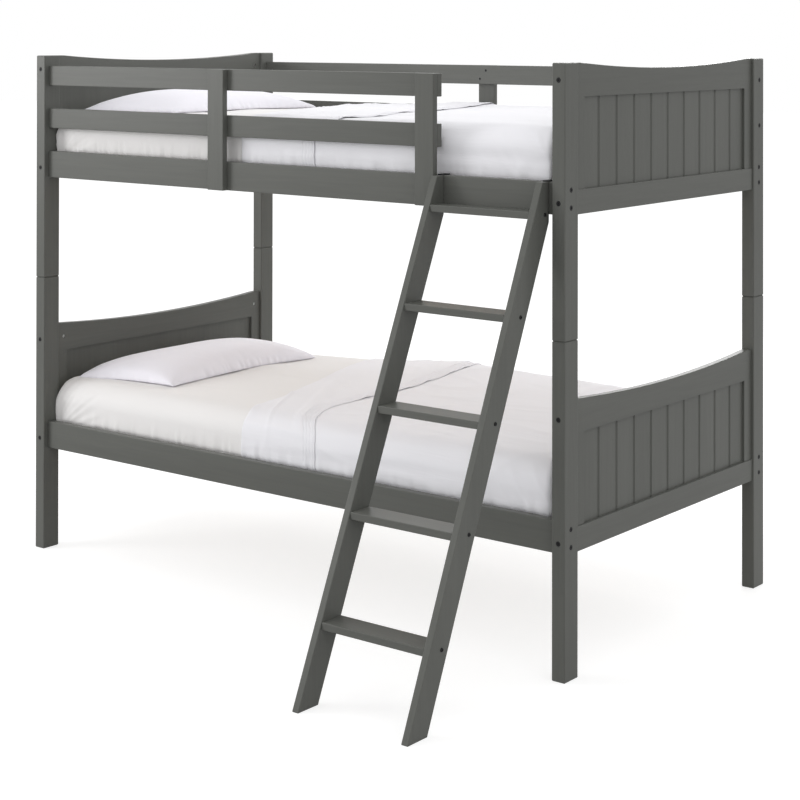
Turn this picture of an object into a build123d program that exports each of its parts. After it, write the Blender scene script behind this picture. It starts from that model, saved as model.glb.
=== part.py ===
from build123d import *
import math
import os

# Twin over twin bunk bed with a leaning ladder, in millimetres.
# X runs along the bed with the head end at -X, the ladder side is -Y, Z is up.
# The bed is drawn about its own middle, and save() then moves each piece so that
# the origin is on the floor in the middle of the whole, ladder included.

# Mattress, which sets the size of the whole bed
mattress_length = 1905.0
mattress_width = 990.0
mattress_height = 182.0
mattress_corner = 60.0
mattress_round = 38.0
mattress_head_gap = 8.0
mattress_foot_gap = 45.0
mattress_side_gap = 8.0

# Posts
post_x = 40.0
post_y = 63.0
lower_post_height = 866.0
upper_post_height = 711.0
post_round = 3.0
lower_post_chamfer = 2.5
upper_post_chamfer = 2.9

# Pins that locate the upper bunk on the lower one
pin_radius = 5.0
pin_length = 60.0
pin_play = 0.4
pin_hole_end = 2.0

# Side rails, measured from the foot of their own bunk
rail_setback = 17.0
side_rail_z = 321.0
side_rail_height = 84.0
side_rail_thickness = 25.0
edge_round = 2.0

# End frames, which fill the space between the two posts of one end
frame_z = 320.0
frame_inset = 9.0
frame_thickness = 22.0
bottom_rail_height = 64.0
bottom_rail_proud = 4.0
top_rail_height = 88.0
scoop_depth = 19.0
scoop_flat = 26.0
stile_width = 42.0
panel_thickness = 6.0
panel_recess = 7.0
panel_tongue = 10.0
panel_play = 0.2
board_count = 10
board_pitch = 90.0
groove_width = 13.0
groove_floor = 8.0
groove_depth = 3.0

# Guard rails of the upper bunk
guard_height = 63.0
guard_thickness = 20.0
guard_drop = 33.0
guard_gap = 73.0
batten_width = 63.0
batten_thickness = 19.0
batten_spacing = 775.0
back_batten_x = 0.0
ladder_opening = 379.0

# Slats and the ledgers they lie on
ledger_depth = 20.0
ledger_height = 22.0
ledger_end_gap = 20.0
slat_count = 13
slat_width = 70.0
slat_thickness = 12.0
slat_end_gap = 1.0

# Ladder
ladder_lean = 23.75
stile_thickness = 20.0
stile_depth = 70.0
stile_top_depth = 31.0
tread_count = 5
tread_length = 317.0
first_tread_z = 200.0
top_tread_drop = 74.0
tread_thickness = 19.0
tread_depth = 75.0
tread_back_gap = 1.0
ladder_bolt_back = 48.0
ladder_bolt_sink = 1.0
ladder_bolt_clear = 0.8
hook_width = 16.0
hook_plate = 3.0
hook_play = 0.3
hook_back_drop = 66.0
hook_lip_drop = 26.0
hook_screw_radius = 2.0
hook_screw_length = 14.0
hook_screw_drops = (30.0, 54.0)

# Fasteners
bolt_radius = 3.0
bolt_hole_play = 0.3
bolt_head_radius = 6.5
bolt_head_height = 3.2
bolt_head_sink = 3.0
bolt_head_play = 0.4
bolt_socket_radius = 2.3
bolt_socket_depth = 2.0
bolt_past_nut = 5.0
nut_radius = 5.0
nut_recess = 1.5
nut_play = 0.1
nut_inset = 28.0
side_rail_bolt_step = 23.0
ladder_bolt_head_radius = 5.0
screw_radius = 2.0
screw_play = 0.1
screw_head_radius = 4.0
screw_head_height = 2.5
screw_in_batten = 12.0
screw_dx = 12.0
screw_dz = 14.0

# Sheets and pillows
sheet_gap = 0.3
sheet_thickness = 3.5
sheet_crease_x = 90.0
sheet_cuff_width = 280.0
sheet_drop = 150.0
pillow_length = 760.0
pillow_width = 370.0
pillow_height = 77.0
pillow_edge = 14.0
pillow_corner = 30.0
pillow_head_gap = 49.0
pillow_y = -45.0
pillow_gap = 0.3

# Worked out from the sizes above
mattress_room = mattress_head_gap + mattress_length + mattress_foot_gap
half_x = mattress_room / 2 + frame_thickness + frame_inset
half_y = mattress_width / 2 + mattress_side_gap + side_rail_thickness + rail_setback
post_in_x = half_x - post_x
post_in_y = half_y - post_y
rail_out_y = half_y - rail_setback
side_rail_in_y = rail_out_y - side_rail_thickness
guard_in_y = rail_out_y - guard_thickness
frame_out_x = half_x - frame_inset
frame_in_x = frame_out_x - frame_thickness
panel_out_x = frame_out_x - panel_recess
panel_in_x = panel_out_x - panel_thickness
frame_top_z = upper_post_height
bottom_rail_top = frame_z + bottom_rail_height
top_rail_z = frame_top_z - top_rail_height
stile_in_y = post_in_y - stile_width
side_rail_top = side_rail_z + side_rail_height
bed_height = lower_post_height + upper_post_height
guard_top_z = bed_height - guard_drop
guard_zs = (guard_top_z - guard_height, guard_top_z - 2 * guard_height - guard_gap)
upper_rail_z = lower_post_height + side_rail_z
upper_rail_top = lower_post_height + side_rail_top
guard_end_x = post_in_x - ladder_opening
ladder_batten_x = guard_end_x - batten_width / 2
head_batten_x = ladder_batten_x - batten_spacing
slat_z = side_rail_z + ledger_height
mattress_z = slat_z + slat_thickness
mattress_top = mattress_z + mattress_height
mattress_x = (mattress_head_gap - mattress_foot_gap) / 2
lean = math.tan(math.radians(ladder_lean))
tread_spacing = (upper_rail_top - top_tread_drop - first_tread_z) / (tread_count - 1)
stile_run = stile_depth / math.cos(math.radians(ladder_lean))
ladder_cut_y = -rail_out_y - hook_play
ladder_foot_y = ladder_cut_y - stile_top_depth - upper_rail_top * lean
left_stile_x = guard_end_x + bolt_head_height - ladder_bolt_sink + ladder_bolt_clear
right_stile_x = left_stile_x + stile_thickness + tread_length
bolt_hole_radius = bolt_radius + bolt_hole_play
rail_bolt_zs = (side_rail_z + side_rail_height / 2 - side_rail_bolt_step,
                side_rail_z + side_rail_height / 2 + side_rail_bolt_step)
frame_bolt_zs = (frame_z + bottom_rail_height / 2, frame_top_z - top_rail_height / 2)
frame_bolt_x = frame_out_x - frame_thickness / 2
side_rail_bolt_y = rail_out_y - side_rail_thickness / 2
guard_bolt_y = rail_out_y - guard_thickness / 2
frame_nut_y = post_in_y - nut_inset
rail_nut_x = post_in_x - nut_inset

ends = {"head": -1, "foot": 1}
sides = {"front": -1, "back": 1}
bunks = {"lower": 0.0, "upper": lower_post_height}


def span_box(x, y, z):
    """A box between two values on each axis."""
    size = [abs(b - a) for a, b in (x, y, z)]
    middle = [(a + b) / 2 for a, b in (x, y, z)]
    return Pos(*middle) * Box(*size)


def rod(start, axis, radius, length):
    """A cylinder that starts at a point and runs along an axis."""
    return extrude(Plane(origin=start, z_dir=axis) * Circle(radius), length)


def eased(shape, size=edge_round):
    """Rounds every edge of a plain length of timber."""
    return fillet(shape.edges(), size)


def save(node, shapes):
    """Writes one node, as one solid or a group of separate solids."""
    shapes = [Pos(0, origin_shift_y, 0) * shape for shape in shapes]
    for shape in shapes:
        shape.label = node
    whole = shapes[0] if len(shapes) == 1 else Compound(children=shapes)
    export_step(whole, os.path.join("parts", node + ".step"))


def furniture_bolt(seat, axis, length, head_radius=bolt_head_radius):
    """A flat-headed bolt: its head stands out from seat against axis."""
    axis = Vector(*axis)
    seat = Vector(*seat)
    top = seat - axis * bolt_head_height
    head = rod(top, axis, head_radius, bolt_head_height)
    head = chamfer(head.edges().sort_by(lambda e: (e.center() - top).length)[0], 0.7)
    shank = rod(seat, axis, bolt_radius, length)
    socket = rod(top, axis, bolt_socket_radius, bolt_socket_depth)
    return head + shank - socket


def bolt_cuts(face, axis, length, head_radius=bolt_head_radius, sink=bolt_head_sink):
    """The bolt's hole through a piece with the sunk seat of its head."""
    hole = rod(face, axis, bolt_hole_radius, length)
    seat = rod(face, axis, head_radius + bolt_head_play, sink)
    return [hole, seat]


def post(bunk, end, side):
    """One corner post with the holes for its rails, frame and pin."""
    base = bunks[bunk]
    height = lower_post_height if bunk == "lower" else upper_post_height
    x = end * (half_x - post_x / 2)
    y = side * (half_y - post_y / 2)
    body = Pos(x, y, base + height / 2) * Box(post_x, post_y, height)
    body = fillet(body.edges().filter_by(Axis.Z), post_round)
    body = chamfer(body.faces().sort_by(Axis.Z)[-1].edges(), lower_post_chamfer)
    foot = upper_post_chamfer if bunk == "upper" else lower_post_chamfer
    body = chamfer(body.faces().sort_by(Axis.Z)[0].edges(), foot)
    cuts = []
    out_x = end * half_x
    out_y = side * half_y
    for z in rail_bolt_zs:
        start = (out_x, side * side_rail_bolt_y, base + z)
        cuts += bolt_cuts(start, (-end, 0, 0), post_x)
    for z in frame_bolt_zs:
        start = (end * frame_bolt_x, out_y, base + z)
        cuts += bolt_cuts(start, (0, -side, 0), post_y)
    if bunk == "upper" and (end, side) != (1, -1):
        for z in guard_zs:
            start = (out_x, side * guard_bolt_y, z + guard_height / 2)
            cuts += bolt_cuts(start, (-end, 0, 0), post_x)
    pin_depth = pin_length / 2 + (pin_hole_end if bunk == "upper" else 0.0)
    pin_fit = pin_radius + (pin_play if bunk == "upper" else 0.0)
    pin_way = (0, 0, 1) if bunk == "upper" else (0, 0, -1)
    cuts.append(rod((x, y, lower_post_height), pin_way, pin_fit, pin_depth))
    return body - cuts


def nut_bore(center, axis, thickness):
    """The blind bore that takes a cross nut in from one face of a board."""
    start = Vector(*center) - Vector(*axis) * (thickness / 2)
    return rod(start, axis, nut_radius + nut_play, thickness - nut_recess)


def cross_nut(center, axis, bolt_axis, thickness):
    """A barrel nut, just short of both faces of its board, with the bolt's hole across it."""
    length = thickness - 2 * nut_recess
    start = Vector(*center) - Vector(*axis) * (length / 2)
    body = rod(start, axis, nut_radius, length)
    hole_start = Vector(*center) - Vector(*bolt_axis) * (2 * nut_radius)
    return body - rod(hole_start, bolt_axis, bolt_radius + screw_play, 4 * nut_radius)


def side_rail(bunk, side):
    """A long rail between the posts, bored at each end for bolts and nuts."""
    base = bunks[bunk]
    y = (side * side_rail_in_y, side * rail_out_y)
    z = (base + side_rail_z, base + side_rail_top)
    body = eased(span_box((-post_in_x, post_in_x), y, z))
    cuts = []
    for end in ends.values():
        for bolt_z in rail_bolt_zs:
            cuts += end_bore(end, side * side_rail_bolt_y, base + bolt_z, side,
                             side_rail_thickness)
    if bunk == "upper":
        cuts += batten_screw_cuts(side, side_rail_thickness, base + side_rail_z,
                                  side_rail_height)
    return body - cuts


def end_bore(end, y, z, side, thickness):
    """Bolt hole and nut bore in the end of a rail that runs along X."""
    hole = rod((end * post_in_x, y, z), (-end, 0, 0), bolt_hole_radius,
               nut_inset + nut_radius + bolt_past_nut)
    return [hole, nut_bore((end * rail_nut_x, y, z), (0, side, 0), thickness)]


def guard_rail(side, z):
    """A guard rail; the front one stops short to leave the way onto the ladder."""
    stop = guard_end_x if side < 0 else post_in_x
    y = (side * guard_in_y, side * rail_out_y)
    body = eased(span_box((-post_in_x, stop), y, (z, z + guard_height)))
    cuts = end_bore(-1, side * guard_bolt_y, z + guard_height / 2, side, guard_thickness)
    if side > 0:
        cuts += end_bore(1, side * guard_bolt_y, z + guard_height / 2, side, guard_thickness)
    return body - cuts - batten_screw_cuts(side, guard_thickness, z, guard_height)


def batten_xs(side):
    return (head_batten_x, ladder_batten_x) if side < 0 else (back_batten_x,)


def screw_points(side, z, height):
    """Two screws on the diagonal where a batten crosses a rail."""
    middle = z + height / 2
    return [(x + s * screw_dx, middle + s * screw_dz)
            for x in batten_xs(side) for s in (-1, 1)]


def batten_screw(x, z, side, thickness):
    """A countersunk screw from inside the bed through a rail into a batten."""
    start = Vector(x, side * (rail_out_y - thickness), z)
    shank = rod(start, (0, side, 0), screw_radius, thickness + screw_in_batten)
    plane = Plane(origin=start, z_dir=(0, side, 0))
    taper = plane * Pos(0, 0, screw_head_height / 2) * Cone(
        screw_head_radius, screw_radius, screw_head_height)
    return shank + taper


def batten_screw_cuts(side, thickness, z, height):
    """Screw holes with their countersinks in a rail that carries battens."""
    cuts = []
    for x, hole_z in screw_points(side, z, height):
        start = Vector(x, side * (rail_out_y - thickness), hole_z)
        plane = Plane(origin=start, z_dir=(0, side, 0))
        cuts.append(rod(start, (0, side, 0), screw_radius + screw_play, thickness))
        cuts.append(plane * Pos(0, 0, screw_head_height / 2) * Cone(
            screw_head_radius + screw_play, screw_radius + screw_play, screw_head_height))
    return cuts


def crossed_rails():
    """Each rail that a batten crosses: its bottom, height and thickness."""
    rails = [(upper_rail_z, side_rail_height, side_rail_thickness)]
    return rails + [(z, guard_height, guard_thickness) for z in guard_zs]


def batten(side, x):
    """An upright that ties the guard rails to the side rail on their outer face."""
    y = (side * rail_out_y, side * (rail_out_y + batten_thickness))
    edges = (x - batten_width / 2, x + batten_width / 2)
    body = eased(span_box(edges, y, (upper_rail_z, guard_top_z)))
    cuts = []
    for z, height, thickness in crossed_rails():
        for hole_x, hole_z in screw_points(side, z, height):
            if edges[0] < hole_x < edges[1]:
                cuts.append(rod((hole_x, side * rail_out_y, hole_z), (0, side, 0),
                                screw_radius + screw_play, screw_in_batten + screw_play))
    return body - cuts


def panel_slot(base):
    """The groove that holds the panel all round inside an end frame."""
    x = (panel_in_x - panel_play, panel_out_x + panel_play)
    reach = stile_in_y + panel_tongue + panel_play
    z = (base + bottom_rail_top - panel_tongue - panel_play,
         base + top_rail_z + panel_tongue + panel_play)
    return span_box(x, (-reach, reach), z)


def frame_cuts(base, z):
    """Bolt holes and nut bores at both ends of a frame's cross rail."""
    cuts = []
    for side in sides.values():
        start = (frame_bolt_x, side * post_in_y, base + z)
        cuts.append(rod(start, (0, -side, 0), bolt_hole_radius,
                        nut_inset + nut_radius + bolt_past_nut))
        cuts.append(nut_bore((frame_bolt_x, side * frame_nut_y, base + z), (1, 0, 0),
                             frame_thickness))
    return cuts


def top_rail(base):
    """The top rail of an end frame, hollowed along its top in one shallow arc."""
    top = base + frame_top_z
    body = span_box((frame_in_x, frame_out_x), (-post_in_y, post_in_y),
                    (base + top_rail_z, top))
    reach = post_in_y - scoop_flat
    radius = (reach ** 2 + scoop_depth ** 2) / (2 * scoop_depth)
    start = (frame_in_x, 0, top - scoop_depth + radius)
    body = body - rod(start, (1, 0, 0), radius, frame_thickness)
    above = body.edges().filter_by(lambda edge: edge.center().Z > top - scoop_depth - 1)
    return fillet([edge for edge in above if edge.length > 2 * frame_thickness], edge_round)


def end_frame(base):
    """The pieces of the foot end's frame; the head end's are turned copies."""
    slot = panel_slot(base)
    upper = top_rail(base) - slot - frame_cuts(base, frame_bolt_zs[1])
    lower = span_box((frame_in_x, frame_out_x + bottom_rail_proud), (-post_in_y, post_in_y),
                     (base + frame_z, base + bottom_rail_top))
    lower = fillet(lower.edges().filter_by(Axis.Y), edge_round)
    lower = lower - slot - frame_cuts(base, frame_bolt_zs[0])
    stiles = []
    for side in sides.values():
        stile = span_box((frame_in_x, frame_out_x), (side * stile_in_y, side * post_in_y),
                         (base + bottom_rail_top, base + top_rail_z))
        stiles.append(stile - slot)
    reach = stile_in_y + panel_tongue
    panel = span_box((panel_in_x, panel_out_x), (-reach, reach),
                     (base + bottom_rail_top - panel_tongue, base + top_rail_z + panel_tongue))
    grooves = []
    height = top_rail_z - bottom_rail_top + 2 * panel_tongue
    for i in range(1, board_count):
        y = (i - board_count / 2) * board_pitch
        outline = Polygon((0, -groove_width / 2), (0, groove_width / 2),
                          (-groove_depth, groove_floor / 2), (-groove_depth, -groove_floor / 2),
                          align=None)
        start = Pos(panel_out_x, y, base + bottom_rail_top - panel_tongue)
        grooves.append(extrude(start * outline, height))
    return {"top_rail": [upper], "bottom_rail": [lower], "stiles": stiles,
            "panel": [panel - grooves]}


def slats(base):
    """Cross slats spread along the two ledgers that they lie on."""
    first = ledger_end_gap - post_in_x + slat_width / 2
    step = -2 * first / (slat_count - 1)
    reach = side_rail_in_y - slat_end_gap
    z = (base + slat_z, base + slat_z + slat_thickness)
    boards = []
    for i in range(slat_count):
        x = first + i * step
        board = span_box((x - slat_width / 2, x + slat_width / 2), (-reach, reach), z)
        boards.append(fillet(board.edges().filter_by(Axis.Y), edge_round))
    return boards


def ledgers(base):
    """Strips glued and screwed along the foot of each side rail."""
    x = (-post_in_x + ledger_end_gap, post_in_x - ledger_end_gap)
    z = (base + side_rail_z, base + side_rail_z + ledger_height)
    return [span_box(x, (side * (side_rail_in_y - ledger_depth), side * side_rail_in_y), z)
            for side in sides.values()]


def side_bolts(base):
    """Bolts and nuts of one bunk's two side rails."""
    bolts, nuts = [], []
    for end in ends.values():
        for side in sides.values():
            for z in rail_bolt_zs:
                place = (end, side * side_rail_bolt_y, base + z)
                bolts.append(rail_bolt(*place))
                nuts.append(rail_nut(*place, side, side_rail_thickness))
    return bolts, nuts


def rail_bolt(end, y, z):
    length = post_x - bolt_head_sink + nut_inset + bolt_past_nut
    seat = (end * (half_x - bolt_head_sink), y, z)
    return furniture_bolt(seat, (-end, 0, 0), length)


def rail_nut(end, y, z, side, thickness):
    return cross_nut((end * rail_nut_x, y, z), (0, side, 0), (end, 0, 0), thickness)


def frame_bolts(base):
    """Bolts and nuts that hold one bunk's end frames between their posts."""
    bolts, nuts = [], []
    length = post_y - bolt_head_sink + nut_inset + bolt_past_nut
    for end in ends.values():
        for side in sides.values():
            for z in frame_bolt_zs:
                x = end * frame_bolt_x
                seat = (x, side * (half_y - bolt_head_sink), base + z)
                bolts.append(furniture_bolt(seat, (0, -side, 0), length))
                nut_at = (x, side * frame_nut_y, base + z)
                nuts.append(cross_nut(nut_at, (end, 0, 0), (0, side, 0), frame_thickness))
    return bolts, nuts


def guard_bolts():
    """Bolts and nuts at the bolted ends of the guard rails."""
    bolts, nuts = [], []
    for end, side in ((-1, -1), (-1, 1), (1, 1)):
        for z in guard_zs:
            place = (end, side * guard_bolt_y, z + guard_height / 2)
            bolts.append(rail_bolt(*place))
            nuts.append(rail_nut(*place, side, guard_thickness))
    return bolts, nuts


def stile_front_y(z):
    """Where the sloping front edge of the ladder is at a height."""
    return ladder_foot_y + z * lean


def tread_tops():
    """Tread heights from the top tread down."""
    return [first_tread_z + i * tread_spacing for i in range(tread_count)][::-1]


def ladder_bolt_places():
    """Side, y and z of each bolt, at mid thickness of its tread."""
    places = []
    for top in tread_tops():
        z = top - tread_thickness / 2
        y = stile_front_y(z) + ladder_bolt_back
        places += [(-1, y, z), (1, y, z)]
    return places


def ladder_stile(way):
    """A leaning side, cut level at the floor and plumb against the side rail."""
    back_foot = ladder_foot_y + stile_run
    cut_z = (ladder_cut_y - back_foot) / lean
    points = [(ladder_foot_y, 0), (back_foot, 0), (ladder_cut_y, cut_z),
              (ladder_cut_y, upper_rail_top), (stile_front_y(upper_rail_top), upper_rail_top)]
    x = left_stile_x if way < 0 else right_stile_x
    face = Plane.YZ * Polygon(*points, align=None)
    body = extrude(Pos(x, 0, 0) * face, stile_thickness, dir=(1, 0, 0))
    body = eased(body)
    out_x = left_stile_x if way < 0 else right_stile_x + stile_thickness
    cuts = []
    for side, y, z in ladder_bolt_places():
        if side == way:
            cuts += bolt_cuts((out_x, y, z), (-way, 0, 0), stile_thickness,
                              ladder_bolt_head_radius, ladder_bolt_sink)
    middle = x + stile_thickness / 2
    seat_y = ladder_cut_y - hook_plate
    half_seat = hook_width / 2 + hook_play
    cuts.append(span_box((middle - half_seat, middle + half_seat), (seat_y, ladder_cut_y),
                         (upper_rail_top - hook_back_drop - hook_play, upper_rail_top)))
    for drop in hook_screw_drops:
        start = (middle, seat_y, upper_rail_top - drop)
        cuts.append(rod(start, (0, -1, 0), hook_screw_radius + screw_play, hook_screw_length))
    return body - cuts


def tread(top):
    """A flat tread between the sides, its top front edge in line with theirs."""
    front = stile_front_y(top)
    back = min(front + tread_depth, ladder_cut_y - tread_back_gap)
    inner = left_stile_x + stile_thickness
    body = eased(span_box((inner, right_stile_x), (front, back), (top - tread_thickness, top)))
    z = top - tread_thickness / 2
    y = stile_front_y(z) + ladder_bolt_back
    cuts = []
    for way, start_x in ((-1, inner), (1, right_stile_x)):
        cuts.append(rod((start_x, y, z), (-way, 0, 0), bolt_hole_radius,
                        nut_inset + nut_radius + bolt_past_nut))
        cuts.append(nut_bore((start_x - way * nut_inset, y, z), (0, 0, 1), tread_thickness))
    return body - cuts


def ladder_fasteners():
    """One bolt through each side into each tread, with its nut in the tread."""
    bolts, nuts = [], []
    grip = stile_thickness - ladder_bolt_sink
    length = grip + nut_inset + bolt_past_nut
    for way, y, z in ladder_bolt_places():
        inner = left_stile_x + stile_thickness if way < 0 else right_stile_x
        bolts.append(furniture_bolt((inner + way * grip, y, z), (-way, 0, 0), length,
                                    ladder_bolt_head_radius))
        nuts.append(cross_nut((inner - way * nut_inset, y, z), (0, 0, 1), (way, 0, 0),
                              tread_thickness))
    return bolts, nuts


def hook_and_screws(x):
    """A steel strap, let into the back of a ladder side, that hooks over the side rail."""
    sides_x = (x - hook_width / 2, x + hook_width / 2)
    low = upper_rail_top + hook_play
    top = low + hook_plate
    inner_y = -side_rail_in_y + hook_play
    seat_y = ladder_cut_y - hook_plate
    plate = span_box(sides_x, (seat_y, ladder_cut_y), (upper_rail_top - hook_back_drop, top))
    bridge = span_box(sides_x, (seat_y, inner_y + hook_plate), (low, top))
    lip = span_box(sides_x, (inner_y, inner_y + hook_plate), (upper_rail_top - hook_lip_drop, top))
    strap = plate + bridge + lip
    screws = []
    for drop in hook_screw_drops:
        start = Vector(x, ladder_cut_y, upper_rail_top - drop)
        plane = Plane(origin=start, z_dir=(0, -1, 0))
        cone = plane * Pos(0, 0, screw_head_height / 2) * Cone(
            screw_head_radius, hook_screw_radius, screw_head_height)
        seat = plane * Pos(0, 0, screw_head_height / 2) * Cone(
            screw_head_radius + screw_play, hook_screw_radius + screw_play, screw_head_height)
        strap = strap - seat - rod(start, (0, -1, 0), hook_screw_radius + screw_play, hook_plate)
        screws.append(cone + rod(start, (0, -1, 0), hook_screw_radius,
                                 hook_screw_length + hook_plate - screw_play))
    return strap, screws


def mattress(base, grow=0.0):
    """A plain mattress block, or the same block grown all round."""
    size = (mattress_length + 2 * grow, mattress_width + 2 * grow, mattress_height + 2 * grow)
    block = Pos(mattress_x, 0, base + mattress_z + mattress_height / 2) * Box(*size)
    block = fillet(block.edges().filter_by(Axis.Z), mattress_corner + grow)
    flat = block.faces().filter_by(Axis.Z)
    return fillet(flat[0].edges() + flat[1].edges(), mattress_round + grow)


def top_sheet(base):
    """A cover over the foot half, turned back into a cuff at its crease."""
    inner = mattress(base, sheet_gap)
    low = base + mattress_top - sheet_drop
    far = half_x + mattress_length
    high = base + mattress_top + mattress_height
    cuff_x = sheet_crease_x - sheet_cuff_width
    single = mattress(base, sheet_gap + sheet_thickness) & span_box(
        (sheet_crease_x, far), (-half_y, half_y), (low, high))
    double = mattress(base, sheet_gap + 2 * sheet_thickness) & span_box(
        (cuff_x, sheet_crease_x), (-half_y, half_y), (low, high))
    return (single + double) - inner


def pillow(base):
    """A plain pillow by the headboard, flat below and domed from all four edges."""
    long_dome = extrude(Plane.YZ * dome(pillow_length), pillow_width / 2, both=True)
    short_dome = extrude(Plane.XZ * dome(pillow_width), pillow_length / 2, both=True)
    block = long_dome & short_dome
    block = fillet(block.edges().filter_by(Axis.Z), pillow_corner)
    pillow_x = pillow_head_gap + pillow_width / 2 - frame_in_x
    return Pos(pillow_x, pillow_y, base + mattress_top + pillow_gap) * block


def dome(width):
    """A flat-bottomed arch as wide as one side of the pillow."""
    half = width / 2
    outline = Polyline((-half, pillow_edge), (-half, 0), (half, 0), (half, pillow_edge))
    return make_face(outline + ThreePointArc((half, pillow_edge), (0, pillow_height),
                                             (-half, pillow_edge)))


os.makedirs("parts", exist_ok=True)
left_stile = ladder_stile(-1)
origin_shift_y = -(left_stile.bounding_box().min.Y + rail_out_y + batten_thickness) / 2

for bunk, base in bunks.items():
    for side_name, side in sides.items():
        for end_name, end in ends.items():
            save(f"{bunk}_post_{side_name}_{end_name}", [post(bunk, end, side)])
        save(f"{bunk}_side_rail_{side_name}", [side_rail(bunk, side)])
    for end_name in ends:
        turn = 180 if end_name == "head" else 0
        for piece, shapes in end_frame(base).items():
            turned = [Rot(0, 0, turn) * shape for shape in shapes]
            save(f"{bunk}_{end_name}board_{piece}", turned)
    save(f"{bunk}_slats", slats(base))
    save(f"{bunk}_slat_ledgers", ledgers(base))
    bolts, nuts = side_bolts(base)
    more_bolts, more_nuts = frame_bolts(base)
    bolts += more_bolts
    nuts += more_nuts
    if bunk == "upper":
        more_bolts, more_nuts = guard_bolts()
        bolts += more_bolts
        nuts += more_nuts
    save(f"{bunk}_frame_bolts", bolts)
    save(f"{bunk}_barrel_nuts", nuts)
    save(f"{bunk}_mattress", [mattress(base)])
    save(f"{bunk}_top_sheet", [top_sheet(base)])
    save(f"{bunk}_pillow", [pillow(base)])

pins = []
for end in ends.values():
    for side in sides.values():
        x = end * (half_x - post_x / 2)
        y = side * (half_y - post_y / 2)
        pin = rod((x, y, lower_post_height - pin_length / 2), (0, 0, 1), pin_radius, pin_length)
        pins.append(chamfer(pin.edges(), 1.0))
save("stacking_pins", pins)

for name, side in sides.items():
    for level, z in zip(("top", "middle"), guard_zs):
        save(f"guard_{name}_{level}_rail", [guard_rail(side, z)])
save("guard_battens", [batten(side, x) for side in sides.values() for x in batten_xs(side)])

screws = []
for side in sides.values():
    for z, height, thickness in crossed_rails():
        for x, screw_z in screw_points(side, z, height):
            screws.append(batten_screw(x, screw_z, side, thickness))
save("guard_screws", screws)

save("ladder_stile_left", [left_stile])
save("ladder_stile_right", [ladder_stile(1)])
for number, top in enumerate(tread_tops(), 1):
    save(f"ladder_tread_{number}", [tread(top)])
bolts, nuts = ladder_fasteners()
save("ladder_bolts", bolts)
save("ladder_barrel_nuts", nuts)
hooks, hook_screws = [], []
for x in (left_stile_x, right_stile_x):
    hook, its_screws = hook_and_screws(x + stile_thickness / 2)
    hooks.append(hook)
    hook_screws += its_screws
save("ladder_hooks", hooks)
save("ladder_hook_screws", hook_screws)
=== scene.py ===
import math

import bmesh
import bpy
import numpy as np
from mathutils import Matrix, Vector


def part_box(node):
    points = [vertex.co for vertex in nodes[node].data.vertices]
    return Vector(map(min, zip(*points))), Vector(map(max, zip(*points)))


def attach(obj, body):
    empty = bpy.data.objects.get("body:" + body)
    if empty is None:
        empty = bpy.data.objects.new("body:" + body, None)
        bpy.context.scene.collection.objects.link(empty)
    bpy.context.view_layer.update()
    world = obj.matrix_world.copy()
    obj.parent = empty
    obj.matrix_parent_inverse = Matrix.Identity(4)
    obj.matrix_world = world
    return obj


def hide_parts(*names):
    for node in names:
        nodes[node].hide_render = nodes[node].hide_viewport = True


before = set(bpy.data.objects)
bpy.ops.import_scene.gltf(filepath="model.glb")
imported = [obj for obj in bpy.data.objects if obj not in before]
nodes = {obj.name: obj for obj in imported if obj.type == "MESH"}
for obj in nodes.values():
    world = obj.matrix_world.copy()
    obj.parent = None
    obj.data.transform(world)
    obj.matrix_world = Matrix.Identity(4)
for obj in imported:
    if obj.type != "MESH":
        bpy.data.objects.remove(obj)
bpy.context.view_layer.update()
scene = bpy.context.scene
print("frame loaded:", len(nodes), "nodes")


# shader helpers, shared by every material

class Tree:
    # a thin wrapper that adds nodes and links them in one call
    def __init__(self, tree):
        self.tree = tree

    def feed(self, socket, value):
        if isinstance(value, bpy.types.NodeSocket):
            self.tree.links.new(value, socket)
        elif isinstance(value, tuple) and len(value) == 3 and socket.type == "RGBA":
            socket.default_value = (*value, 1.0)
        else:
            socket.default_value = value

    def add(self, kind, values=None, **props):
        node = self.tree.nodes.new(kind)
        for name, value in props.items():
            setattr(node, name, value)
        for name, value in (values or {}).items():
            self.feed(node.inputs[name], value)
        return node

    def math(self, operation, a, b=0.0):
        return self.add("ShaderNodeMath", {0: a, 1: b}, operation=operation).outputs[0]

    def scaled(self, vector, scale):
        return self.add("ShaderNodeMapping", {"Vector": vector, "Scale": scale}).outputs[0]

    def ramp(self, fac, stops):
        node = self.add("ShaderNodeValToRGB", {"Fac": fac})
        elements = node.color_ramp.elements
        while len(elements) < len(stops):
            elements.new(0.5)
        for element, (place, value) in zip(elements, stops):
            element.position = place
            element.color = (*([value] * 3 if isinstance(value, float) else value), 1.0)
        return node.outputs["Color"]

    def mix(self, fac, a, b, blend="MIX"):
        return self.add("ShaderNodeMix", {0: fac, 6: a, 7: b}, data_type="RGBA",
                        blend_type=blend).outputs[2]

    def noise(self, vector, scale, detail=3.0, rough=0.5, distortion=0.0):
        values = {"Vector": vector, "Scale": scale, "Detail": detail, "Roughness": rough,
                  "Distortion": distortion}
        return self.add("ShaderNodeTexNoise", values).outputs["Fac"]


def newGroup(name, inputs, outputs):
    group = bpy.data.node_groups.new(name, "ShaderNodeTree")
    kinds = {"float": "NodeSocketFloat", "color": "NodeSocketColor", "vector": "NodeSocketVector"}
    for label, kind, value in inputs:
        socket = group.interface.new_socket(name=label, in_out="INPUT", socket_type=kinds[kind])
        if value is not None:
            socket.default_value = value
    for label, kind in outputs:
        group.interface.new_socket(name=label, in_out="OUTPUT", socket_type=kinds[kind])
    tree = Tree(group)
    return tree, tree.add("NodeGroupInput"), tree.add("NodeGroupOutput")


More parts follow.
